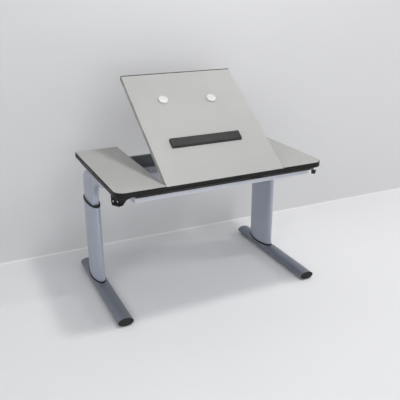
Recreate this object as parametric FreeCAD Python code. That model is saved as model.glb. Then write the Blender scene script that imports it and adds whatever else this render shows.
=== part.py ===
import FreeCAD, Part
import math, os
from FreeCAD import Vector as V

# Height-adjustable drafting table on two C-shaped legs.
# The top is split in three: two fixed side panels and a tilting middle board.
# Frame: +X to the user's right, +Y away from the user, +Z up, origin on the
# floor below the centre of the overall footprint. Millimetres.

# ---------------------------------------------------------------- dimensions
TOP_W = 1200.0          # overall width of the top
TOP_D = 800.0           # overall depth of the top
TOP_T = 28.0            # thickness of the panels and the board
TOP_Z = 757.0           # top surface above the floor, stored height
BOARD_W = 677.0         # tilting middle board
SEAM = 1.8              # gap between board and side panels
TILT = 34.7             # stored tilt of the board, degrees
EDGE_T = 4.0            # moulded edging on the side panels
CORNER_R = 55.0         # front corners of the top
REAR_R = 20.0           # rear corners of the top
FOOT_Y0, FOOT_Y1 = 40.0, 812.0    # foot ends, measured from the front edge
FOOT_A, FOOT_B = 43.0, 23.0       # foot tube half width and half height
FOOT_Z = 27.0           # foot tube centre above the floor
LEG_X = 574.0           # leg centre from the middle of the table
COL_Y = 578.0           # column centre behind the front edge
COL_A, COL_B = 34.5, 122.0   # outer column half width, half depth
COL_WALL = 3.0
COL_TOP = 520.0         # top of the outer column
NECK_A, NECK_B, NECK_R = 27.0, 96.0, 15.0   # inner tube half width, half depth, corner radius
BOW = 9.0                # bow of the inner tube sides
NECK_BOTTOM = 160.0
NECK_WALL = 3.0
PAN_XL, PAN_XR = -501.0, 514.0   # ends of the sheet metal pan
PAN_Y0, PAN_Y1 = 20.0, 452.0
PAN_Z = -70.0           # pan floor below the top surface
SHEET = 1.5
TRAY_Y1 = 712.0
TRAY_Z = -118.0
TRAY_TOP = -48.0
ARM = 190.0             # tilt arm length, equal to hinge-to-pivot distance
ARM_DROP = 6.95         # slope of the arm line below the board, degrees
PIN_Y, PIN_Z = TOP_T / 2, -TOP_T / 2      # board hinge axis
YC = (0.0 + FOOT_Y1) / 2          # footprint centre behind the front edge
HOOK_A, HOOK_B = V(-597.5, 86, 0), V(-539.5, 25, 0)   # left bag hook plate, plan

os.makedirs("parts", exist_ok=True)
BX = BOARD_W / 2
HINGE = V(0, PIN_Y, PIN_Z)
ad = math.radians(ARM_DROP)
PIVOT = V(0, PIN_Y + ARM * math.cos(ad), PIN_Z - ARM * math.sin(ad))


# ------------------------------------------------------------------- helpers
def box(x0, x1, y0, y1, z0, z1):
    return Part.makeBox(x1 - x0, y1 - y0, z1 - z0, V(x0, y0, z0))


def cyl(r, h, p, d=V(0, 0, 1)):
    return Part.makeCylinder(r, h, p, d)


def mirror(s):
    return s.mirror(V(0, 0, 0), V(1, 0, 0))


def oval(a, b, z0, z1):
    """Elliptical section 2a by 2b, long axis along Y, extruded in Z."""
    el = Part.Ellipse()
    el.MajorRadius, el.MinorRadius = b, a
    w = Part.Wire([el.toShape()])
    w.Placement = FreeCAD.Placement(V(0, 0, z0), FreeCAD.Rotation(V(0, 0, 1), 90))
    return Part.Face(w).extrude(V(0, 0, z1 - z0))


def bowed(a, b, z0, z1, y0=None):
    """Plan outline 2a by 2b with bowed sides; y0 carries the front end on."""
    n = a - BOW
    e = [Part.Arc(V(-n, -b, z0), V(-a, 0, z0), V(-n, b, z0)).toShape(),
         Part.LineSegment(V(-n, b, z0), V(n, b, z0)).toShape(),
         Part.Arc(V(n, b, z0), V(a, 0, z0), V(n, -b, z0)).toShape()]
    if y0 is None:
        e.append(Part.LineSegment(V(n, -b, z0), V(-n, -b, z0)).toShape())
    else:
        e += [Part.LineSegment(V(n, -b, z0), V(n, y0, z0)).toShape(),
              Part.LineSegment(V(n, y0, z0), V(-n, y0, z0)).toShape(),
              Part.LineSegment(V(-n, y0, z0), V(-n, -b, z0)).toShape()]
    return Part.Face(Part.Wire(e)).extrude(V(0, 0, z1 - z0))


def bowed_tube(a, b, r, z0, z1):
    """The inner tube section as a plain solid, corners rounded to r."""
    s = bowed(a, b, z0, z1)
    ed = [k for k in s.Edges if k.BoundBox.XLength < 1e-3 and k.BoundBox.YLength < 1e-3]
    return s.makeFillet(r, ed)


def at(s, x, y, z=0.0):
    s = s.copy()
    s.translate(V(x, y, z))
    return s


def ell_y(a, b, y0, y1, x=0.0, z=0.0):
    """Elliptical prism along Y with half width a and half height b."""
    e = Part.Ellipse(V(x, y0, z), a, b)
    el = Part.Ellipse()
    el.MajorRadius, el.MinorRadius = a, b
    w = Part.Wire([el.toShape()])
    w.Placement = FreeCAD.Placement(V(x, y0, z), FreeCAD.Rotation(V(1, 0, 0), 90))
    return Part.Face(w).extrude(V(0, y1 - y0, 0))


def prism_yz(pts, x0, x1):
    """Polygon in the YZ plane extruded from x0 to x1."""
    w = Part.makePolygon([V(x0, y, z) for y, z in pts + [pts[0]]])
    return Part.Face(w).extrude(V(x1 - x0, 0, 0))


def plate(x0, x1, y0, y1, z0, z1, radii):
    """Plan-rounded plate. radii maps corner keys 'll','lr','ul','ur' to radius."""
    s = box(x0, x1, y0, y1, z0, z1)
    want = {'ll': (x0, y0), 'lr': (x1, y0), 'ul': (x0, y1), 'ur': (x1, y1)}
    for k, r in radii.items():
        cx, cy = want[k]
        ed = [e for e in s.Edges if len(e.Vertexes) == 2 and
              all(abs(v.X - cx) < 1e-6 and abs(v.Y - cy) < 1e-6 for v in e.Vertexes)]
        s = s.makeFillet(r, ed)
    return s


def soften(s, r, pick):
    """Fillet the picked edges, keeping the sharp solid if the kernel refuses."""
    ed = [e for e in s.Edges if pick(e)]
    if not ed:
        return s
    try:
        f = s.makeFillet(r, ed)
        if f.isValid() and f.Volume > 0:
            return f
    except Exception:
        pass
    print("soften kept sharp", round(r, 2), len(ed))
    return s


def top(s):
    """From front-edge / top-surface coordinates to the part frame."""
    return at(s, 0, -YC, TOP_Z)


def leg(s):
    """From front-edge / floor coordinates to the part frame."""
    return at(s, 0, -YC, 0)


def tilt(s):
    """Turn a piece modelled flat to the stored tilt about the board hinge."""
    s = s.copy()
    s.rotate(HINGE, V(1, 0, 0), TILT)
    return top(s)


def swing(s):
    """Turn a piece modelled for the flat board to the stored arm angle."""
    s = s.copy()
    s.rotate(PIVOT, V(1, 0, 0), 2 * TILT)
    return top(s)


def save(name, shapes):
    if not isinstance(shapes, (list, tuple)):
        shapes = [shapes]
    out = []
    for s in shapes:
        out += s.Solids
    for s in out:
        if not s.isValid() or s.Volume <= 0:
            print("BAD", name, s.isValid(), s.Volume)
    c = out[0] if len(out) == 1 else Part.makeCompound(out)
    c.exportStep("parts/%s.step" % name)
    b = c.BoundBox
    print("%-26s %3d solids  x %8.1f %8.1f  y %8.1f %8.1f  z %8.1f %8.1f" % (
        name, len(out), b.XMin, b.XMax, b.YMin, b.YMax, b.ZMin, b.ZMax))


def screw(p, d, head_r=5.0, head_h=3.0, r=2.2, length=18.0, slot=True):
    """Pan-head screw: head seat at p, shank goes along d."""
    h = cyl(head_r, head_h, p - d * head_h, d)
    h = soften(h, 1.0, lambda e: e.Curve.TypeId == 'Part::GeomCircle'
               and abs((e.Curve.Center - (p - d * head_h)).Length) < 1e-6)
    s = h.fuse(cyl(r, length, p, d))
    if slot:
        s = s.cut(cyl(1.7, 1.6, p - d * head_h, d))
    return s


# ------------------------------------------------------- lower legs (on floor)
def lower_leg():
    out = {}
    y0, y1 = FOOT_Y0, FOOT_Y1
    foot = ell_y(FOOT_A, FOOT_B, y0 + 3, y1 - 3, LEG_X, FOOT_Z)
    bore = ell_y(FOOT_A - 3, FOOT_B - 3, y0, y1, LEG_X, FOOT_Z)
    foot = foot.cut(bore)
    for dy in (-62, 62):
        foot = foot.cut(cyl(5.2, 20, V(LEG_X, COL_Y + dy, FOOT_Z + FOOT_B - 14)))
    out['foot_tube'] = foot
    for tag, ye, sgn in (('front', y0, 1), ('rear', y1, -1)):
        face = ell_y(FOOT_A, FOOT_B, min(ye, ye + 3 * sgn), max(ye, ye + 3 * sgn), LEG_X, FOOT_Z)
        face = soften(face, 1.2, lambda e: abs(e.BoundBox.YMin - ye) < 1e-3 and abs(e.BoundBox.YMax - ye) < 1e-3)
        ya, yb = ye + 3 * sgn, ye + 20 * sgn
        plug = ell_y(FOOT_A - 3.15, FOOT_B - 3.15, min(ya, yb), max(ya, yb), LEG_X, FOOT_Z)
        hollow = ell_y(FOOT_A - 6, FOOT_B - 6, min(ye + 6 * sgn, yb + sgn), max(ye + 6 * sgn, yb + sgn), LEG_X, FOOT_Z)
        out['foot_%s_cap' % tag] = face.fuse(plug).cut(hollow)
    pads = []
    hull = ell_y(FOOT_A, FOOT_B, y0, y1, LEG_X, FOOT_Z)
    for yy in (y0 + 48, y1 - 48):
        pads.append(cyl(15, 13, V(LEG_X, yy, 0)).cut(hull))
    out['foot_glides'] = pads
    # column: open oval tube saddled on the foot with a gasket between
    col = at(oval(COL_A, COL_B, 30, COL_TOP), LEG_X, COL_Y)
    inner = at(oval(COL_A - COL_WALL, COL_B - COL_WALL, 20, COL_TOP + 5), LEG_X, COL_Y)
    saddle = ell_y(FOOT_A + 6, FOOT_B + 6, COL_Y - 150, COL_Y + 150, LEG_X, FOOT_Z)
    out['outer_column'] = col.cut(inner).cut(saddle)
    g = at(oval(COL_A + 3.0, COL_B + 3.0, 30, 84), LEG_X, COL_Y)
    g = g.cut(at(oval(COL_A - 6, COL_B - 6, 20, 90), LEG_X, COL_Y))
    g = g.common(saddle).cut(ell_y(FOOT_A, FOOT_B, COL_Y - 150, COL_Y + 150, LEG_X, FOOT_Z))
    out['base_gasket'] = g
    # cast anchor inside the column, bolted up through the foot wall
    anc = at(oval(COL_A - COL_WALL - 0.2, COL_B - COL_WALL - 0.2, 30, 92), LEG_X, COL_Y)
    anc = anc.cut(saddle).cut(box(LEG_X - 40, LEG_X + 40, COL_Y - 46, COL_Y + 46, 64, 100))
    for dy in (-62, 62):
        anc = anc.cut(cyl(4.0, 40, V(LEG_X, COL_Y + dy, 45)))
    out['column_anchor'] = anc
    bolts = []
    for dy in (-62, 62):
        bolts.append(cyl(4.0, 35, V(LEG_X, COL_Y + dy, 46)).fuse(
            Part.makeCylinder(7.5, 7, V(LEG_X, COL_Y + dy, 39))).cut(
            cyl(3, 4, V(LEG_X, COL_Y + dy, 39))))
    out['anchor_bolts'] = bolts
    # guide collar: flange on the column rim and sleeve around the inner tube
    fl = at(oval(COL_A + 2.2, COL_B + 2.2, COL_TOP, COL_TOP + 8.5), LEG_X, COL_Y)
    fl = soften(fl, 2.0, lambda e: abs(e.BoundBox.ZMin - COL_TOP - 8.5) < 1e-3)
    sl = at(oval(COL_A - COL_WALL - 0.15, COL_B - COL_WALL - 0.15, COL_TOP - 55, COL_TOP), LEG_X, COL_Y)
    hole = at(bowed_tube(NECK_A + 0.4, NECK_B + 0.4, NECK_R + 0.4, COL_TOP - 60, COL_TOP + 14), LEG_X, COL_Y)
    out['column_collar'] = fl.fuse(sl).cut(hole)
    # lift cylinder standing on the anchor
    lc = cyl(14, 262, V(LEG_X, COL_Y, 64)).fuse(cyl(11, 6, V(LEG_X, COL_Y, 326)))
    lc = lc.cut(cyl(5.06, 280, V(LEG_X, COL_Y, 76)))
    out['lift_cylinder'] = lc
    return out


def neck():
    """Inner tube: straight in the column, then bending forward to the plate."""
    yr, yf = COL_Y + NECK_B, COL_Y - NECK_B
    zb = NECK_BOTTOM
    zt = TOP_Z - TOP_T - 8.0
    Rr, Rf = 147.0, 140.0

    def profile(o):
        r1, f1 = Rr - o, Rf + o
        a, b = yr - o, yf + o
        cr = V(0, yr - Rr, zt - Rr)
        cf = V(0, yf - Rf, zt - 39 - Rf)
        yfront = yf - Rf - 20 + o
        s = math.sqrt(0.5)
        up = 0.0 if o == 0 else 6.0
        e = [Part.LineSegment(V(0, b, zb - up), V(0, a, zb - up)).toShape(),
             Part.LineSegment(V(0, a, zb - up), V(0, a, cr.z)).toShape(),
             Part.Arc(V(0, a, cr.z), V(0, cr.y + r1 * s, cr.z + r1 * s), V(0, cr.y, cr.z + r1)).toShape()]
        if o == 0:
            e += [Part.LineSegment(V(0, cr.y, cr.z + r1), V(0, yfront, zt)).toShape()]
            ztop = zt
        else:
            e += [Part.LineSegment(V(0, cr.y, cr.z + r1), V(0, yfront, cr.z + r1)).toShape()]
            ztop = cr.z + r1
        e += [Part.LineSegment(V(0, yfront, ztop), V(0, yfront, cf.z + f1)).toShape(),
              Part.LineSegment(V(0, yfront, cf.z + f1), V(0, cf.y, cf.z + f1)).toShape(),
              Part.Arc(V(0, cf.y, cf.z + f1), V(0, cf.y + f1 * s, cf.z + f1 * s), V(0, cf.y + f1, cf.z)).toShape(),
              Part.LineSegment(V(0, cf.y + f1, cf.z), V(0, b, zb - up)).toShape()]
        return Part.Wire(e)

    def body(o, r):
        a = NECK_A - o
        f = Part.Face(profile(o))
        f.translate(V(-a, 0, 0))
        s = f.extrude(V(2 * a, 0, 0))
        s = s.common(at(bowed(a, NECK_B - o, zb - 10, TOP_Z, 0 - COL_Y), 0, COL_Y))
        zlow = zb - (0 if o == 0 else 6)

        def pick(e):
            bb = e.BoundBox
            if bb.XMin < 0 < bb.XMax:
                return False
            if bb.ZLength < 1e-3 and abs(bb.ZMin - zlow) < 1e-3:
                return False
            if o == 0 and bb.ZLength < 1e-3 and abs(bb.ZMin - zt) < 1e-3:
                return False
            if abs(bb.YMin - bb.YMax) < 1e-3 and bb.YMin < yf - Rf - 1:
                return False
            return True
        return soften(s, r, pick)

    s = body(0, NECK_R).cut(body(NECK_WALL, NECK_R - 3.0))
    return at(s, LEG_X, 0)


L = lower_leg()
for k in ('foot_tube', 'outer_column', 'column_collar'):
    save("right_" + k, leg(L[k]))
    save("left_" + k, leg(mirror(L[k])))
groups = {'foot_end_caps': [L['foot_front_cap'], L['foot_rear_cap']], 'foot_glides': L['foot_glides'],
          'base_gaskets': [L['base_gasket']], 'column_anchors': [L['column_anchor']],
          'anchor_bolts': L['anchor_bolts'], 'lift_cylinders': [L['lift_cylinder']]}
for k, v in groups.items():
    save(k, [leg(p) for p in v] + [leg(mirror(p)) for p in v])

# --------------------------------------------------------------- top frame
nk = neck()
save("right_neck_tube", leg(nk))
save("left_neck_tube", leg(mirror(nk)))

shoe = at(oval(COL_A - COL_WALL - 0.4, COL_B - COL_WALL - 0.4, 166, 200), LEG_X, COL_Y)
shoe = shoe.cut(at(bowed_tube(NECK_A, NECK_B, NECK_R, 150, 220), LEG_X, COL_Y))
save("tube_shoes", [leg(shoe), leg(mirror(shoe))])

rod = cyl(5.0, TOP_Z - TOP_T - 8 - 14.5 - 140, V(LEG_X, COL_Y, 140))
save("lift_rods", [leg(rod), leg(mirror(rod))])

mp = plate(520, 596, 304, 692, -TOP_T - 8, -TOP_T, {'ll': 12, 'lr': 12, 'ul': 12, 'ur': 12})
for yy in (330, 442, 556, 668):
    mp = mp.cut(cyl(2.6, 20, V(533, yy, -TOP_T - 14)))
save("mount_plates", [top(mp), top(mirror(mp))])
ms = [screw(V(533, yy, -TOP_T - 8), V(0, 0, 1), 5.5, 3.4, 2.4, 24) for yy in (330, 442, 556, 668)]
save("mount_screws", [top(s) for s in ms] + [top(mirror(s)) for s in ms])

# cross beam between the two necks, under the pan
bm = box(-552, 552, 456, 500, -103, -73).cut(box(-553, 553, 458.5, 497.5, -100.5, -75.5))
save("cross_beam", top(bm))

# side panel: core with laminate, moulded edging on three sides, thin inner band
xi = BX + SEAM + 1.2            # inner edge of the core
xo = TOP_W / 2
full = plate(xi, xo, 0, TOP_D, -TOP_T, 0, {'lr': CORNER_R, 'ur': REAR_R})
core = plate(xi, xo - EDGE_T, EDGE_T, TOP_D - EDGE_T, -TOP_T, 0,
             {'lr': CORNER_R - EDGE_T, 'ur': REAR_R - EDGE_T})
full = full.fuse(box(xi - 1.2, xi, 0, EDGE_T, -TOP_T, 0)).fuse(
    box(xi - 1.2, xi, TOP_D - EDGE_T, TOP_D, -TOP_T, 0)).removeSplitter()
edging = full.cut(core)


def outer_rim(e):
    bb = e.BoundBox
    if bb.ZLength > 1e-3:
        return False
    cx, cy = (bb.XMin + bb.XMax) / 2, (bb.YMin + bb.YMax) / 2
    return (bb.YMax < 0.01) or (bb.YMin > TOP_D - 0.01) or (bb.XMin > xo - 0.01) or \
        (bb.XMax > xo - 0.01 and bb.YMin < 0.01) or (bb.XMax > xo - 0.01 and bb.YMax > TOP_D - 0.01)


edging = soften(edging, 3.0, outer_rim)
band = box(xi - 1.2, xi, EDGE_T, TOP_D - EDGE_T, -TOP_T, 0)
pin_hole = cyl(4.0, 60, V(xi - 2, PIN_Y, PIN_Z), V(1, 0, 0))
core = core.cut(pin_hole)
band = band.cut(pin_hole)
for side, f in (('right', lambda s: s), ('left', mirror)):
    save(side + "_panel", top(f(core)))
    save(side + "_panel_edging", top(f(edging)))
save("panel_inner_bands", [top(band), top(mirror(band))])

# board hinge: stub pins in the side panels
pin = cyl(4.0, 74, V(BX - 24, PIN_Y, PIN_Z), V(1, 0, 0))
pin = soften(pin, 0.8, lambda e: e.BoundBox.XLength < 1e-3)
save("hinge_pins", [top(pin), top(mirror(pin))])

# sheet metal pan: floor, front wall, side walls with inward flanges
z0 = PAN_Z
pan = prism_yz([(PAN_Y0, -36), (PAN_Y0, -65), (38, z0 - SHEET), (PAN_Y1, z0 - SHEET), (PAN_Y1, -43.5),
                (PAN_Y1 - SHEET, -43.5), (PAN_Y1 - SHEET, z0), (38.6, z0), (PAN_Y0 + 2.5, -64.2),
                (PAN_Y0 + 2.5, -36)], PAN_XL, PAN_XR)
side_prof = [(PAN_Y0, -TOP_T), (PAN_Y0, -65), (38, z0 - SHEET), (PAN_Y1, z0 - SHEET), (PAN_Y1, -TOP_T)]
for xe, sg in ((PAN_XL, 1), (PAN_XR, -1)):
    a, b = sorted((xe, xe + sg * SHEET))
    pan = pan.fuse(prism_yz(side_prof, a, b))
    a, b = sorted((xe, xe + sg * 22))
    pan = pan.fuse(box(a, b, PAN_Y0 + 16, PAN_Y1, -TOP_T - SHEET, -TOP_T))
pan = pan.removeSplitter()
for zr in (-42.0, -49.5, -57.0):
    pan = pan.cut(box(PAN_XL + 2, PAN_XR - 2, PAN_Y0 - 1, PAN_Y0 + 0.9, zr - 0.8, zr + 0.8))
for sg in (-1, 1):
    for xx in (213.5, 258.5):
        pan = pan.cut(cyl(4.5, 10, V(sg * xx, PAN_Y1 - 6, -57), V(0, 1, 0)))
for xs in (PAN_XL + 12, PAN_XR - 12):
    for yy in (60, 200, 340):
        pan = pan.cut(cyl(2.4, 10, V(xs, yy, -TOP_T - 5)))
save("chassis_pan", top(pan))
ps = [screw(V(xs, yy, -TOP_T - SHEET), V(0, 0, 1), 4.5, 2.6, 2.0, 16)
      for xs in (PAN_XL + 12, PAN_XR - 12) for yy in (60, 200, 340)]
save("pan_screws", [top(s) for s in ps])

# rear cable tray hung from the pan and two brackets
t = SHEET
prof = [(430, -71.5), (521, -71.5), (521, TRAY_Z), (TRAY_Y1 - t, TRAY_Z), (TRAY_Y1 - t, TRAY_TOP),
        (TRAY_Y1 + 14, TRAY_TOP), (TRAY_Y1 + 14, TRAY_TOP - t), (TRAY_Y1, TRAY_TOP - t),
        (TRAY_Y1, TRAY_Z - t), (521 - t, TRAY_Z - t), (521 - t, -73.0), (430, -73.0)]
tray = prism_yz(prof, -500, 500)
for sg in (-1, 1):
    a, b = sorted((sg * 500, sg * (500 - t)))
    tray = tray.fuse(box(a, b, 521 - t, TRAY_Y1, TRAY_Z - t, -73))
tray = tray.removeSplitter()
for xx in (-330, -110, 110, 330):
    tray = tray.cut(plate(xx - 40, xx + 40, 604, 628, TRAY_Z - 5, TRAY_Z + 5,
                          {'ll': 11, 'lr': 11, 'ul': 11, 'ur': 11}))
save("cable_tray", top(tray))
br = box(500, 502.5, 560, 690, -104, -TOP_T).fuse(box(470, 502.5, 560, 690, -TOP_T - 2.5, -TOP_T))
br = br.removeSplitter()
save("tray_brackets", [top(br), top(mirror(br))])

# front rail: dark strip under the front edge with a cove for the board nose
rail = box(PAN_XL - 1, PAN_XR + 1, 0.6, PAN_Y0, -36, -TOP_T)
rail = rail.fuse(box(-BX - 0.4, BX + 0.4, 0.6, PIN_Y, -TOP_T, -24.0)).removeSplitter()
rail = rail.cut(cyl(TOP_T / 2 + 0.8, 2 * BX + 4, V(-BX - 2, PIN_Y, PIN_Z), V(1, 0, 0)))
rail = rail.cut(box(-BX - 0.6, BX + 0.6, PIN_Y, PAN_Y0 + 1, -TOP_T - 0.8, -20))
rail = rail.cut(plate(130, 205, -5, 30, -34.6, -29.2, {}))
rail = rail.cut(box(130, 205, -5, 9, -34.6, -26.6))
rail = soften(rail, 1.5, lambda e: e.BoundBox.XLength > 900 and abs(e.BoundBox.ZMin + 36) < 1e-3
              and e.BoundBox.YMax < 1)
save("front_rail", top(rail))

# bearings, shaft brake and release guide on the pan floor
zf = PAN_Z
bearing = box(184, 194, PIVOT.y - 12, PIVOT.y + 12, zf + 3, -29.4)
bearing = bearing.fuse(box(180, 206, PIVOT.y - 22, PIVOT.y + 22, zf, zf + 3))
bearing = bearing.cut(cyl(7.0, 20, V(180, PIVOT.y, PIVOT.z), V(1, 0, 0)))
bush = cyl(7.0, 12, V(183, PIVOT.y, PIVOT.z), V(1, 0, 0)).cut(
    cyl(5.05, 20, V(180, PIVOT.y, PIVOT.z), V(1, 0, 0)))
save("shaft_brackets", [top(bearing), top(mirror(bearing))])
save("shaft_bushes", [top(bush), top(mirror(bush))])
clamp = box(154, 178, PIVOT.y - 13, PIVOT.y + 16, zf, -29.4)
clamp = clamp.cut(cyl(5.05, 60, V(140, PIVOT.y, PIVOT.z), V(1, 0, 0)))
clamp = clamp.cut(box(150, 182, PIVOT.y + 4, PIVOT.y + 20, PIVOT.z - 0.9, PIVOT.z + 0.9))
save("brake_clamp", top(clamp))
gd = box(146, 189, 92, 112, zf, -29.2).cut(box(154.4, 180.6, 90, 114, -33.5, -30.4))
gd = gd.cut(box(158, 177, 90, 114, zf + 6, -38))
save("release_guide", top(gd))
anchor = cyl(3.0, zf * -1 - 34, V(167.5, 168, zf)).fuse(cyl(5.0, 2, V(167.5, 168, -36)))
save("spring_post", top(anchor))
# extension spring: close-wound coils between the release tab and the post
SX, SZ, SY0, NC, PITCH = 167.5, -45.0, 133.0, 12, 1.8
edges = [Part.LineSegment(V(SX, SY0, SZ), V(SX, SY0, SZ + 3.4)).toShape()]
for i in range(NC):
    ya, yb = SY0 + i * PITCH, SY0 + (i + 1) * PITCH
    edges.append(Part.Arc(V(SX, ya, SZ + 3.4), V(SX, (ya + yb) / 2, SZ + 4.2), V(SX, yb, SZ + 3.4)).toShape())
yend = SY0 + NC * PITCH
edges.append(Part.LineSegment(V(SX, yend, SZ + 3.4), V(SX, yend, SZ)).toShape())
edges.append(Part.LineSegment(V(SX, yend, SZ), V(SX, SY0, SZ)).toShape())
coil = Part.Face(Part.Wire(edges)).revolve(V(SX, SY0, SZ), V(0, 1, 0), 360)
spring = coil.fuse(cyl(0.8, SY0 - 124.5 + 1, V(SX, 124.5, SZ), V(0, 1, 0)))
spring = spring.fuse(cyl(0.8, 165 - yend + 1, V(SX, yend - 1, SZ), V(0, 1, 0)))
save("release_spring", top(spring))

# rubber rests for the lowered board on the tray flange
bump = []
for xx in (-70, 70):
    b = cyl(6.5, 19.2, V(xx, TRAY_Y1 + 6.8, TRAY_TOP))
    b = soften(b, 1.5, lambda e: e.BoundBox.ZLength < 1e-3 and e.BoundBox.ZMin > TRAY_TOP + 10 and
               e.Curve.TypeId == 'Part::GeomCircle')
    bump.append(top(b))
save("board_rests", bump)

# bag hooks: diagonal plates under the front corners with two eyes
du = (HOOK_B - HOOK_A)
ul = du.Length
du.normalize()
dn = V(-du.y, du.x, 0)          # towards the middle of the table
if dn.x * 1 + dn.y * 1 < 0:
    dn = dn * -1


def hk(u, n, z):
    return HOOK_A + du * u + dn * n + V(0, 0, z)


def hook_prism(pts, n0, n1):
    w = Part.makePolygon([hk(u, n0, z) for u, z in pts + [pts[0]]])
    return Part.Face(w).extrude(dn * (n1 - n0))


hp = hook_prism([(-1, -TOP_T), (ul + 22, -TOP_T), (ul + 22, -31), (ul - 1, -45), (ul - 22, -76), (ul - 29, -80),
                 (3, -72), (-1, -67)], -2.5, 2.5)
hp = hp.fuse(hook_prism([(4, -TOP_T), (ul - 6, -TOP_T), (ul - 6, -TOP_T - 4), (4, -TOP_T - 4)], 2.5, 26))
hp = hp.fuse(hook_prism([(10, -73.9), (ul - 32, -79.3), (ul - 32, -74.3), (10, -68.9)], -15, 2.5))
hp = hp.fuse(hook_prism([(10, -73.9), (ul - 32, -79.3), (ul - 32, -70.5), (10, -65)], -17.5, -14))
hp = hp.fuse(hook_prism([(42, -TOP_T), (48, -TOP_T), (48, -40), (42, -40)], 2.5, 10))
for u in (9, 33):
    for dz in (-58, -62.5):
        hp = hp.cut(Part.makeCylinder(3.7, 12, hk(u, -5, dz), dn))
    hp = hp.cut(hook_prism([(u - 3.7, -62.5), (u + 3.7, -62.5), (u + 3.7, -58), (u - 3.7, -58)], -5, 7))
for u in (16, ul - 18):
    hp = hp.cut(cyl(2.2, 10, hk(u, 15, -TOP_T - 8)))
hp = hp.removeSplitter()
save("left_bag_hook", top(hp))
save("right_bag_hook", top(mirror(hp)))
hs = [screw(hk(u, 15, -TOP_T - 4), V(0, 0, 1), 4.2, 2.4, 1.8, 15) for u in (16, ul - 18)]
save("hook_screws", [top(s) for s in hs] + [top(mirror(s)) for s in hs])

# ------------------------------------------------------------ tilting board
R = TOP_T / 2
NOSE = 24.0
REAR_T = 8.0
nose = box(-BX + 1.2, BX - 1.2, PIN_Y, NOSE, -TOP_T, -1.0).fuse(
    cyl(R, BOARD_W - 2.4, V(-BX + 1.2, PIN_Y, PIN_Z), V(1, 0, 0))).removeSplitter()
nose = nose.cut(box(-BX, BX, 13.0, NOSE + 6, -1.0, 1)).cut(box(-BX, BX, NOSE, NOSE + 10, -40, 5))
cheek = cyl(R, 1.2, V(BX - 1.2, PIN_Y, PIN_Z), V(1, 0, 0)).cut(box(BX - 3, BX + 3, 13.0, 60, -40, 5))
nose = nose.fuse(cheek).fuse(mirror(cheek)).removeSplitter()
for sg in (-1, 1):
    p = V(sg * (BX - 34), PIN_Y, PIN_Z)
    nose = nose.cut(cyl(7.0, 40, p, V(sg, 0, 0)))
save("board_front_edging", tilt(nose))
core = box(-BX + 1.2, BX - 1.2, NOSE, TOP_D - REAR_T, -TOP_T, -1.0)
save("board_core", tilt(core))
sheet = box(-BX + 1.2, BX - 1.2, 13.0, TOP_D - REAR_T, -1.0, 0)
save("board_face_sheet", tilt(sheet))
rear = box(-BX, BX, TOP_D - REAR_T, TOP_D, -TOP_T, 0)
rear = soften(rear, 3.0, lambda e: e.BoundBox.XLength > 100 and e.BoundBox.YMin > TOP_D - 0.01)
save("board_rear_edging", tilt(rear))
sb = box(BX - 1.2, BX, 13.0, TOP_D - REAR_T, -TOP_T, 0)
sb = sb.cut(box(BX - 2, BX + 1, 12, PIN_Y, -TOP_T - 1, PIN_Z)).fuse(
    cyl(R, 1.2, V(BX - 1.2, PIN_Y, PIN_Z), V(1, 0, 0)).common(box(BX - 3, BX + 3, 13.0, 40, -40, PIN_Z))).removeSplitter()
sb = sb.cut(cyl(7.0, 10, V(BX - 5, PIN_Y, PIN_Z), V(1, 0, 0)))
save("board_side_bands", [tilt(sb), tilt(mirror(sb))])
hb = cyl(7.0, 34, V(BX - 34, PIN_Y, PIN_Z), V(1, 0, 0)).cut(
    cyl(4.06, 40, V(BX - 26, PIN_Y, PIN_Z), V(1, 0, 0)))
save("hinge_bushes", [tilt(hb), tilt(mirror(hb))])

# slotted guides under the board; the slot line passes through the hinge axis
ca, sa = math.cos(ad), math.sin(ad)


def along(d, off=0.0):
    return (PIN_Y + d * ca - off * sa * -1 * -1, PIN_Z - d * sa - off * ca)


low0, low1 = along(252, 6.8), along(395, 6.8)
gp = prism_yz([(246, -TOP_T), (408, -TOP_T), (408, low1[1]), (low1[0], low1[1]), (low0[0], low0[1]), (246, low0[1] + 4)], 207.5, 212.5)
gp = gp.fuse(box(207.5, 240, 246, 408, -TOP_T - 3, -TOP_T)).removeSplitter()
s0, s1 = along(262), along(387)
for p in (s0, s1):
    gp = gp.cut(cyl(4.35, 20, V(200, p[0], p[1]), V(1, 0, 0)))
w = 4.35
slot = prism_yz([(s0[0] + w * sa * -1, s0[1] - w * ca), (s1[0] - w * sa, s1[1] - w * ca),
                 (s1[0] + w * sa, s1[1] + w * ca), (s0[0] + w * sa, s0[1] + w * ca)], 200, 220)
gp = gp.cut(slot)
for yy in (262, 392):
    gp = gp.cut(cyl(2.3, 10, V(228, yy, -TOP_T - 5)))
save("slot_guides", [tilt(gp), tilt(mirror(gp))])
gs = [screw(V(228, yy, -TOP_T - 3), V(0, 0, 1), 4.2, 2.4, 2.0, 14) for yy in (262, 392)]
save("guide_screws", [tilt(s) for s in gs] + [tilt(mirror(s)) for s in gs])

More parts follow.
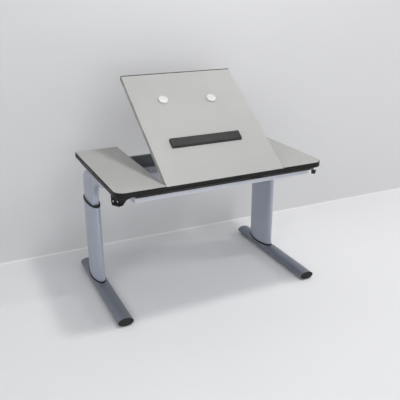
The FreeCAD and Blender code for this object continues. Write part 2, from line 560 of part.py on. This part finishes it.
# ------------------------------------------------------------ tilt arms
T = V(0, PIVOT.y + ARM * ca, PIVOT.z - ARM * sa)
arm = prism_yz([(PIVOT.y - 7 * sa, PIVOT.z - 7 * ca), (T.y - 6.2 * sa, T.z - 6.2 * ca),
                (T.y + 6.2 * sa, T.z + 6.2 * ca), (PIVOT.y + 7 * sa, PIVOT.z + 7 * ca)], 199, 205)
arm = arm.fuse(cyl(8.0, 6, V(199, PIVOT.y, PIVOT.z), V(1, 0, 0))).fuse(
    cyl(6.4, 6, V(199, T.y, T.z), V(1, 0, 0))).removeSplitter()
arm = arm.cut(cyl(5.0, 20, V(190, PIVOT.y, PIVOT.z), V(1, 0, 0)))
arm = arm.fuse(cyl(2.5, 9.5, V(205, T.y, T.z), V(1, 0, 0)))
save("right_tilt_arm", swing(arm))
save("left_tilt_arm", swing(mirror(arm)))
ab = cyl(4.0, 8.0, V(206, T.y, T.z), V(1, 0, 0)).cut(cyl(2.5, 12, V(204, T.y, T.z), V(1, 0, 0)))
save("arm_slide_bushes", [swing(ab), swing(mirror(ab))])
save("tilt_shaft", swing(cyl(5.0, 412, V(-206, PIVOT.y, PIVOT.z), V(1, 0, 0))))

# ------------------------------------------------------------ release slide
rl = plate(134, 201, 3.2, 46, -33, -31, {'ul': 12, 'ur': 12})
rl = rl.fuse(box(155, 180, 40, 186, -33, -31)).fuse(box(134, 201, 3.2, 5.4, -34.2, -29.6))
rl = rl.fuse(box(160, 175, 122, 124, -50, -31)).removeSplitter()
save("release_slide", top(rl))

# ------------------------------------------------------------ magnets
def magnet(x, s):
    cap = cyl(27, 9.0, V(x, s, 0.3))
    cap = soften(cap, 2.2, lambda e: e.Curve.TypeId == 'Part::GeomCircle' and e.BoundBox.ZMin > 5)
    cap = cap.cut(cyl(22.1, 5.0, V(x, s, -0.7)))
    core = cyl(22.1, 4.0, V(x, s, 0.3)).cut(cyl(6, 2, V(x, s, -0.5)))
    return cap, core


for side, x, s in (('left', -159, 586), ('right', 128, 566)):
    cap, core = magnet(x, s)
    save(side + "_magnet_cap", tilt(cap))
    save(side + "_magnet_core", tilt(core))

# ------------------------------------------------------------ pencil bar
x0, x1, s0, s1 = -225, 183, 243, 303
bar = prism_yz([(s0, 0.5), (s0 + 0.6, 5.5), (s0 + 6, 12.5), (s0 + 9, 13.5), (s1 - 4, 13.5), (s1, 10.5), (s1, 0.5)], x0, x1)
bar = soften(bar, 3.0, lambda e: e.BoundBox.XLength < 1e-3 and e.BoundBox.YLength < 1e-3 and e.BoundBox.ZLength > 3)
bar = bar.cut(box(x0 + 14, x1 - 14, s0 + 14, s1 - 14, 0, 3.6))
save("pencil_bar", tilt(bar))
st = [box(x0 + 14, x0 + 154, s0 + 14, s1 - 14, 0.35, 3.6), box(x1 - 154, x1 - 14, s0 + 14, s1 - 14, 0.35, 3.6)]
save("bar_magnet_strips", [tilt(s) for s in st])
print("hinge", top(Part.Vertex(HINGE)).Point, "pivot", top(Part.Vertex(PIVOT)).Point)
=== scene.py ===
import bpy, bmesh, math
from mathutils import Vector, Matrix, Quaternion


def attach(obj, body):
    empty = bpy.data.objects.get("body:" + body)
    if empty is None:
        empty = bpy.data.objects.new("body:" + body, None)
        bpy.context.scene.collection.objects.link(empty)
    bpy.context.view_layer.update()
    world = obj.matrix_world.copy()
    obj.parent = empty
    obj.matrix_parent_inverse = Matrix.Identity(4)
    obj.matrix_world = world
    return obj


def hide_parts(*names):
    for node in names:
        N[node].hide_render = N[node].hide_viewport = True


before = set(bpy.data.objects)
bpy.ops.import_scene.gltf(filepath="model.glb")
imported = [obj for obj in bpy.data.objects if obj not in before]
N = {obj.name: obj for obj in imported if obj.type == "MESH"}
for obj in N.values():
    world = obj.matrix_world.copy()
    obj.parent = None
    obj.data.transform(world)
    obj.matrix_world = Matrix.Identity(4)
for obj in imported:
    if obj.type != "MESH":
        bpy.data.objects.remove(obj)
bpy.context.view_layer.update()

TILT = math.radians(34.7)
HINGE = Vector((0, -0.392, 0.743))
YC, TOPZ = 0.406, 0.757


# ================================================================ materials
def new_mat(name):
    m = bpy.data.materials.new(name)
    m.use_nodes = True
    nt = m.node_tree
    nt.nodes.clear()
    out = nt.nodes.new("ShaderNodeOutputMaterial")
    b = nt.nodes.new("ShaderNodeBsdfPrincipled")
    nt.links.new(b.outputs[0], out.inputs[0])
    return m, nt, b


class G:
    """Small helper to write node graphs in one line each."""

    def __init__(self, name):
        self.m, self.nt, self.b = new_mat(name)
        self.tc = self.nt.nodes.new("ShaderNodeTexCoord")

    def n(self, kind, **kw):
        nd = self.nt.nodes.new(kind)
        for k, v in kw.items():
            setattr(nd, k, v)
        return nd

    def l(self, a, b):
        self.nt.links.new(a, b)

    def coords(self, scale=(1, 1, 1), rot=(0, 0, 0)):
        mp = self.n("ShaderNodeMapping")
        mp.inputs["Scale"].default_value = scale
        mp.inputs["Rotation"].default_value = rot
        self.l(self.tc.outputs["Object"], mp.inputs["Vector"])
        return mp.outputs[0]

    def noise(self, scale, detail=3.0, rough=0.55, vec=None, dist=0.0):
        nd = self.n("ShaderNodeTexNoise")
        nd.inputs["Scale"].default_value = scale
        nd.inputs["Detail"].default_value = detail
        nd.inputs["Roughness"].default_value = rough
        nd.inputs["Distortion"].default_value = dist
        self.l(vec if vec is not None else self.tc.outputs["Object"], nd.inputs["Vector"])
        return nd.outputs[0]

    def voronoi(self, scale, feature="F1", vec=None):
        nd = self.n("ShaderNodeTexVoronoi", feature=feature)
        nd.inputs["Scale"].default_value = scale
        self.l(vec if vec is not None else self.tc.outputs["Object"], nd.inputs["Vector"])
        return nd.outputs[0]

    def ramp(self, fac, lo, hi, a=0.0, b=1.0):
        nd = self.n("ShaderNodeMapRange")
        nd.inputs["From Min"].default_value = lo
        nd.inputs["From Max"].default_value = hi
        nd.inputs["To Min"].default_value = a
        nd.inputs["To Max"].default_value = b
        self.l(fac, nd.inputs["Value"])
        return nd.outputs[0]

    def math(self, op, a, b=None):
        nd = self.n("ShaderNodeMath", operation=op)
        for i, v in enumerate((a, b)):
            if v is None:
                continue
            if isinstance(v, (int, float)):
                nd.inputs[i].default_value = v
            else:
                self.l(v, nd.inputs[i])
        return nd.outputs[0]

    def mix(self, fac, c0, c1):
        nd = self.n("ShaderNodeMix", data_type="RGBA")
        if isinstance(fac, (int, float)):
            nd.inputs[0].default_value = fac
        else:
            self.l(fac, nd.inputs[0])
        for i, c in ((6, c0), (7, c1)):
            if isinstance(c, (tuple, list)):
                nd.inputs[i].default_value = (*c[:3], 1)
            else:
                self.l(c, nd.inputs[i])
        return nd.outputs[2]

    def bump(self, height, dist, strength=1.0, normal=None):
        nd = self.n("ShaderNodeBump")
        nd.inputs["Distance"].default_value = dist
        nd.inputs["Strength"].default_value = strength
        self.l(height, nd.inputs["Height"])
        if normal is not None:
            self.l(normal, nd.inputs["Normal"])
        return nd.outputs[0]

    def edge(self, radius=0.0012):
        """0 on flat faces, 1 on sharp outer edges."""
        bv = self.n("ShaderNodeBevel", samples=4)
        bv.inputs["Radius"].default_value = radius
        geo = self.n("ShaderNodeNewGeometry")
        dot = self.n("ShaderNodeVectorMath", operation="DOT_PRODUCT")
        self.l(bv.outputs[0], dot.inputs[0])
        self.l(geo.outputs["Normal"], dot.inputs[1])
        return self.ramp(dot.outputs["Value"], 0.995, 0.80, 0.0, 1.0), bv.outputs[0]

    def set(self, **kw):
        for k, v in kw.items():
            s = self.b.inputs[k.replace("_", " ")]
            if isinstance(v, (int, float)):
                s.default_value = v
            elif isinstance(v, (tuple, list)):
                s.default_value = (*v, 1) if len(v) == 3 and s.type == "RGBA" else v
            else:
                self.l(v, s)


def mul(c, k):
    return tuple(min(1.0, x * k) for x in c)


def laminate(name, base, rough=0.46):
    g = G(name)
    big = g.noise(2.2, 4, 0.6)
    speck = g.noise(1400, 2, 0.7)
    pearl = g.voronoi(620)
    c = g.mix(g.ramp(big, 0.35, 0.65), mul(base, 0.965), mul(base, 1.03))
    c = g.mix(g.ramp(speck, 0.42, 0.62, 0.0, 0.35), c, mul(base, 0.90))
    smear = g.noise(9, 5, 0.6, g.coords((1, 3.5, 1), (0, 0, 0.5)))
    g.set(Base_Color=c, Roughness=g.ramp(smear, 0.3, 0.7, rough - 0.05, rough + 0.08),
          Normal=g.bump(g.math("ADD", g.ramp(speck, 0.3, 0.7, 0, 0.6), g.ramp(pearl, 0.0, 0.5, 0, 0.5)), 0.00006, 0.45),
          Specular_IOR_Level=0.25)
    return g.m


def moulded(name, base, rough=0.5, grain=900, depth=0.00008, wear=(0.10, 0.10, 0.10), wear_amt=0.45, edge_r=0.0012, spec=0.3):
    g = G(name)
    cell = g.voronoi(grain)
    fine = g.noise(grain * 2.2, 3, 0.6)
    big = g.noise(7, 4, 0.6)
    c = g.mix(g.ramp(big, 0.3, 0.7), mul(base, 0.82), mul(base, 1.22))
    e, _ = g.edge(edge_r)
    worn = g.math("MULTIPLY", e, g.ramp(g.noise(70, 4, 0.7), 0.42, 0.62, 0.0, wear_amt))
    c = g.mix(worn, c, wear)
    h = g.math("ADD", g.ramp(cell, 0.0, 0.6, 0, 1), g.ramp(fine, 0.3, 0.7, 0, 0.35))
    g.set(Base_Color=c, Roughness=g.ramp(g.noise(22, 4, 0.6), 0.3, 0.7, rough - 0.07, rough + 0.09),
          Normal=g.bump(h, depth, 0.5), Specular_IOR_Level=spec)
    return g.m


def powder(name, base, rough=0.36, metal=0.65, flake=0.05, peel=0.00012, wear=(0.62, 0.63, 0.64)):
    g = G(name)
    fl = g.voronoi(2600)
    big = g.noise(3.1, 4, 0.6)
    c = g.mix(g.ramp(big, 0.3, 0.7), mul(base, 0.95), mul(base, 1.05))
    c = g.mix(g.ramp(fl, 0.15, 0.75, 0.0, flake * 4), c, mul(base, 1.25))
    e, _ = g.edge(0.001)
    worn = g.math("MULTIPLY", e, g.ramp(g.noise(60, 4, 0.7), 0.55, 0.7, 0.0, 0.35))
    c = g.mix(worn, c, wear)
    orange = g.noise(420, 2, 0.5)
    g.set(Base_Color=c, Metallic=metal,
          Roughness=g.ramp(g.noise(14, 4, 0.6), 0.3, 0.7, rough - 0.04, rough + 0.06),
          Normal=g.bump(g.math("ADD", orange, g.ramp(fl, 0, 1, 0, 0.15)), peel, 0.35),
          Coat_Weight=0.12, Coat_Roughness=0.3)
    return g.m


def steel(name, base=(0.56, 0.57, 0.58), rough=0.28, along=(1, 60, 60), tint=(0.50, 0.53, 0.60)):
    g = G(name)
    st = g.noise(55, 4, 0.65, g.coords(along))
    pat = g.noise(26, 3, 0.6)
    c = g.mix(g.ramp(pat, 0.35, 0.65), base, tint)
    c = g.mix(g.ramp(st, 0.35, 0.7, 0, 0.35), c, mul(base, 0.72))
    g.set(Base_Color=c, Metallic=1.0, Roughness=g.ramp(st, 0.3, 0.7, rough - 0.06, rough + 0.12),
          Normal=g.bump(st, 0.00004, 0.4))
    return g.m


def nylon(name, base=(0.74, 0.73, 0.68)):
    g = G(name)
    c = g.mix(g.ramp(g.noise(40, 4, 0.6), 0.3, 0.7), mul(base, 0.93), base)
    g.set(Base_Color=c, Roughness=g.ramp(g.noise(150, 3), 0.3, 0.7, 0.38, 0.5), Subsurface_Weight=0.12,
          Subsurface_Scale=0.002, Normal=g.bump(g.noise(700, 2), 0.00003, 0.4))
    return g.m


def particleboard(name):
    g = G(name)
    v = g.voronoi(430)
    f = g.noise(900, 4, 0.7)
    c = g.mix(g.ramp(v, 0.1, 0.7), (0.30, 0.20, 0.11), (0.46, 0.34, 0.20))
    c = g.mix(g.ramp(f, 0.35, 0.65, 0, 0.6), c, (0.22, 0.14, 0.075))
    g.set(Base_Color=c, Roughness=0.85, Normal=g.bump(v, 0.0003, 0.5))
    return g.m


M = {}
M["laminate"] = laminate("laminate_grey", (0.42, 0.42, 0.405), 0.50)
M["face"] = laminate("board_face_grey", (0.42, 0.42, 0.404), 0.47)
M["edging"] = moulded("pu_edging_anthracite", (0.012, 0.012, 0.0118), 0.44, 700, 0.00008, (0.03, 0.03, 0.03), 0.4, spec=0.20)
M["rail"] = moulded("front_rail_anthracite", (0.030, 0.030, 0.030), 0.46, 800, 0.00008)
M["band"] = moulded("edge_band_greige", (0.38, 0.38, 0.34), 0.52, 1500, 0.00003, (0.25, 0.25, 0.23), 0.3, 0.0006)
M["silver"] = powder("powder_silver", (0.42, 0.45, 0.53), 0.36, 0.55)
M["pan"] = powder("powder_silver_pan", (0.60, 0.62, 0.68), 0.42, 0.30)
M["foot"] = powder("powder_dark_silver", (0.20, 0.22, 0.265), 0.32, 0.70)
M["tray"] = powder("powder_slate", (0.21, 0.225, 0.25), 0.45, 0.25, 0.03, 0.00012, (0.3, 0.3, 0.3))
M["black"] = moulded("plastic_black", (0.016, 0.016, 0.0163), 0.48, 1100, 0.00006, (0.06, 0.06, 0.06), 0.5)
M["bar"] = moulded("pencil_bar_black", (0.040, 0.040, 0.0405), 0.55, 1300, 0.00005, (0.05, 0.05, 0.05), 0.4, spec=0.16)
M["rubber"] = moulded("rubber_black", (0.012, 0.012, 0.012), 0.78, 600, 0.0001, (0.03, 0.03, 0.03), 0.3)
M["steel"] = steel("zinc_steel")
M["rod"] = steel("ground_rod_steel", (0.62, 0.62, 0.63), 0.16, (60, 60, 1))
M["cast"] = steel("cast_aluminium", (0.5, 0.51, 0.52), 0.45, (9, 9, 9))
M["nylon"] = nylon("nylon_natural")
M["white"] = moulded("magnet_white", (0.64, 0.64, 0.63), 0.42, 1600, 0.00002, (0.7, 0.7, 0.69), 0.2)
M["ferrite"] = moulded("ferrite_dark", (0.05, 0.05, 0.052), 0.6, 900, 0.00005)


def paint(names, key):
    for n in names.split():
        o = N[n]
        o.data.materials.clear()
        o.data.materials.append(M[key])


paint("left_panel right_panel board_core", "laminate")
paint("board_face_sheet", "face")
paint("left_panel_edging right_panel_edging board_front_edging board_rear_edging", "edging")
paint("board_side_bands panel_inner_bands", "band")
paint("left_outer_column right_outer_column left_neck_tube right_neck_tube", "silver")
paint("chassis_pan", "pan")
paint("left_foot_tube right_foot_tube", "foot")
paint("cable_tray tray_brackets cross_beam mount_plates", "tray")
paint("foot_end_caps left_column_collar right_column_collar left_bag_hook right_bag_hook release_slide brake_clamp release_guide", "black")
paint("pencil_bar", "bar")
paint("front_rail", "rail")
paint("base_gaskets board_rests foot_glides", "rubber")
paint("anchor_bolts mount_screws pan_screws hook_screws guide_screws hinge_pins lift_cylinders shaft_brackets slot_guides left_tilt_arm right_tilt_arm tilt_shaft release_spring spring_post", "steel")
paint("lift_rods", "rod")
paint("tube_shoes hinge_bushes shaft_bushes arm_slide_bushes", "nylon")
paint("left_magnet_cap right_magnet_cap", "white")
paint("left_magnet_core right_magnet_core bar_magnet_strips", "ferrite")
paint("column_anchors", "cast")

# ==================================================== pieces made as meshes
def top_pt(x, y, z):
    """Point given from the middle of the front edge on the top surface, in mm."""
    return Vector((x / 1000, y / 1000 - YC, z / 1000 + TOPZ))


def tube(name, pts, r, sides=10):
    """Closed round wire along a list of points, with capped ends."""
    bm = bmesh.new()
    rings = []
    ref = Vector((0, 0, 1))
    for i, p in enumerate(pts):
        a = pts[max(i - 1, 0)]
        b = pts[min(i + 1, len(pts) - 1)]
        t = (b - a).normalized()
        ref = (ref - t * ref.dot(t)).normalized()
        side = t.cross(ref)
        rings.append([bm.verts.new(p + (ref * math.cos(k * math.tau / sides) + side * math.sin(k * math.tau / sides)) * r)
                      for k in range(sides)])
    for q0, q1 in zip(rings, rings[1:]):
        for k in range(sides):
            bm.faces.new((q0[k], q0[(k + 1) % sides], q1[(k + 1) % sides], q1[k]))
    bm.faces.new(rings[0][::-1])
    bm.faces.new(rings[-1])
    bmesh.ops.recalc_face_normals(bm, faces=bm.faces)
    return finish_mesh(name, bm)


def finish_mesh(name, bm, smooth=True):
    me = bpy.data.meshes.new(name)
    bm.to_mesh(me)
    bm.free()
    for q in me.polygons:
        q.use_smooth = smooth
    o = bpy.data.objects.new(name, me)
    bpy.context.scene.collection.objects.link(o)
    return o


def spring():
    pts = [top_pt(167.5, 124.7 + 6.0 * i / 6, -45) for i in range(7)]
    n, turns, y0, y1, rad = 12 * 18, 12, 132.0, 155.6, 3.4
    for i in range(n + 1):
        f = i / n
        grow = min(1.0, f * turns * 1.6, (1 - f) * turns * 1.6)
        a = math.tau * turns * f
        pts.append(top_pt(167.5 + rad * grow * math.sin(a), y0 + (y1 - y0) * f, -45 + rad * grow * math.cos(a)))
    pts += [top_pt(167.5, 157.0 + 7.0 * i / 6, -45) for i in range(7)]
    o = tube("release_spring_wire", pts, 0.0007)
    o.data.materials.append(M["steel"])
    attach(o, "top_frame")
    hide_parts("release_spring")


spring()

# =========================================== edges of the carried-over nodes
CRISP = ("cable_tray tray_brackets cross_beam mount_plates slot_guides left_tilt_arm right_tilt_arm "
         "shaft_brackets release_slide brake_clamp release_guide left_bag_hook right_bag_hook front_rail")
for n in CRISP.split():
    o = N[n]
    wd = o.modifiers.new("weld", "WELD")
    wd.merge_threshold = 0.00001
    bv = o.modifiers.new("edge", "BEVEL")
    bv.width = 0.00035
    bv.segments = 2
    bv.limit_method = "ANGLE"
    bv.angle_limit = math.radians(50)
    wn = o.modifiers.new("weighted", "WEIGHTED_NORMAL")
    wn.keep_sharp = False
    wn.weight = 100


for n in "chassis_pan left_outer_column right_outer_column left_neck_tube right_neck_tube left_panel right_panel board_core left_foot_tube right_foot_tube left_panel_edging right_panel_edging board_front_edging board_rear_edging left_column_collar right_column_collar pencil_bar".split():
    o = N[n]
    wd = o.modifiers.new("weld", "WELD")
    wd.merge_threshold = 0.00001
    wn = o.modifiers.new("weighted", "WEIGHTED_NORMAL")
    wn.keep_sharp = True
    wn.weight = 100

# ================================================================== camera
cam = bpy.data.cameras.new("camera")
cam.sensor_width = 36.0
cam.lens = 554.09 / 400 * 36.0
co = bpy.data.objects.new("camera", cam)
bpy.context.scene.collection.objects.link(co)
yaw, pitch, roll = math.radians(25.57), math.radians(21.24), math.radians(-0.16)
f = Vector((math.sin(yaw) * math.cos(pitch), math.cos(yaw) * math.cos(pitch), -math.sin(pitch)))
r0 = Vector((math.cos(yaw), -math.sin(yaw), 0))
u0 = r0.cross(f)
r = r0 * math.cos(roll) + u0 * math.sin(roll)
u = -r0 * math.sin(roll) + u0 * math.cos(roll)
rot = Matrix((r, u, -f)).transposed()
co.matrix_world = Matrix.Translation(Vector((-1.29093, -2.35833 - YC, 0.91692 + TOPZ))) @ rot.to_4x4()
bpy.context.scene.camera = co


# =================================================================== stage
def stage_mat(name, c, rough):
    """Pale paint on the side that faces the table; from behind the wall is clear."""
    g = G(name)
    geo = g.n("ShaderNodeNewGeometry")
    clear = g.n("ShaderNodeBsdfTransparent")
    both = g.n("ShaderNodeMixShader")
    out = [x for x in g.nt.nodes if x.type == "OUTPUT_MATERIAL"][0]
    g.l(geo.outputs["Backfacing"], both.inputs[0])
    g.l(g.b.outputs[0], both.inputs[1])
    g.l(clear.outputs[0], both.inputs[2])
    g.l(both.outputs[0], out.inputs[0])
    g.set(Base_Color=g.mix(g.ramp(g.noise(1.3, 3), 0.3, 0.7), mul(c, 0.985), c), Roughness=rough, Specular_IOR_Level=0.25)
    return g.m


def room():
    """Pale floor meeting a plain wall behind the table in a tight coved corner."""
    me = bpy.data.meshes.new("stage_room")
    bm = bmesh.new()
    prof = [(-9.0, 0.0)]
    y0, R, n = 0.625, 0.012, 8
    for i in range(n + 1):
        a = math.pi / 2 * i / n
        prof.append((y0 + R * math.sin(a), R - R * math.cos(a)))
    prof.append((y0 + R, 5.0))
    d = Matrix.Rotation(math.radians(-0.8), 3, "Z")
    rows = []
    for x in (-9.0, 9.0):
        rows.append([bm.verts.new(d @ Vector((x, y, z - 0.0004))) for y, z in prof])
    for i in range(len(prof) - 1):
        bm.faces.new((rows[0][i], rows[1][i], rows[1][i + 1], rows[0][i + 1]))
    bm.to_mesh(me)
    bm.free()
    for p in me.polygons:
        p.use_smooth = True
    o = bpy.data.objects.new("stage_room", me)
    bpy.context.scene.collection.objects.link(o)
    me.materials.append(stage_mat("stage_pale", (0.79, 0.79, 0.795), 0.6))
    me.materials.append(stage_mat("stage_wall", (0.655, 0.655, 0.66), 0.6))
    for p in me.polygons:
        if p.center.z > R / 2:
            p.material_index = 1
    return o


def floor_behind():
    """The floor goes on past the wall, seen only in views from the rear."""
    me = bpy.data.meshes.new("stage_floor_rear")
    bm = bmesh.new()
    v = [bm.verts.new(Vector(c)) for c in ((-9.0, 0.655, -0.004), (9.0, 0.655, -0.004), (9.0, 9.0, -0.004), (-9.0, 9.0, -0.004))]
    bm.faces.new(v)
    bm.to_mesh(me)
    bm.free()
    o = bpy.data.objects.new("stage_floor_rear", me)
    bpy.context.scene.collection.objects.link(o)
    me.materials.append(stage_mat("stage_pale_rear", (0.80, 0.80, 0.805), 0.6))


room()
floor_behind()


# ================================================================== lights
def area(name, loc, target, size, power, color=(1, 1, 1), size_y=None):
    l = bpy.data.lights.new(name, "AREA")
    l.shape = "RECTANGLE"
    l.size = size
    l.size_y = size_y or size
    l.energy = power
    l.color = color
    o = bpy.data.objects.new(name, l)
    bpy.context.scene.collection.objects.link(o)
    o.location = loc
    o.rotation_euler = (Vector(target) - Vector(loc)).to_track_quat("-Z", "Y").to_euler()
    return o


area("key_light", (5.4, -0.9, 2.1), (0.0, 0.0, 0.45), 0.8, 74, (1.0, 0.99, 0.98))
area("top_light", (0.55, -0.7, 3.7), (0.0, 0.0, 0.3), 0.45, 40, (1, 1, 1))
area("front_light", (0.2, -3.2, 3.4), (0.0, 0.1, 0.5), 2.2, 26, (0.99, 0.995, 1.0))
area("left_fill", (-3.6, -2.2, 2.7), (-0.2, 0.1, 0.65), 1.8, 28, (0.97, 0.985, 1.0))
area("low_fill", (-0.6, -4.6, 1.1), (0.0, 0.2, 0.45), 3.0, 34, (0.96, 0.98, 1.0), 1.6)
w = bpy.data.worlds.new("studio")
bpy.context.scene.world = w
bpy.context.scene.view_settings.view_transform = "Standard"
w.use_nodes = True
wt = w.node_tree
wc = wt.nodes.new("ShaderNodeTexCoord")
wx = wt.nodes.new("ShaderNodeVectorMath")
wx.operation = "DOT_PRODUCT"
wx.inputs[1].default_value = (0.55, -0.80, 0.25)
wr = wt.nodes.new("ShaderNodeMapRange")
wr.inputs["From Min"].default_value = -0.75
wr.inputs["From Max"].default_value = 0.85
wm = wt.nodes.new("ShaderNodeMix")
wm.data_type = "RGBA"
wm.inputs[6].default_value = (0.42, 0.45, 0.54, 1)
wm.inputs[7].default_value = (1.20, 1.20, 1.21, 1)
wt.links.new(wc.outputs["Generated"], wx.inputs[0])
wt.links.new(wx.outputs["Value"], wr.inputs["Value"])
wt.links.new(wr.outputs[0], wm.inputs[0])
wt.links.new(wm.outputs[2], wt.nodes["Background"].inputs[0])
wt.nodes["Background"].inputs[1].default_value = 0.36
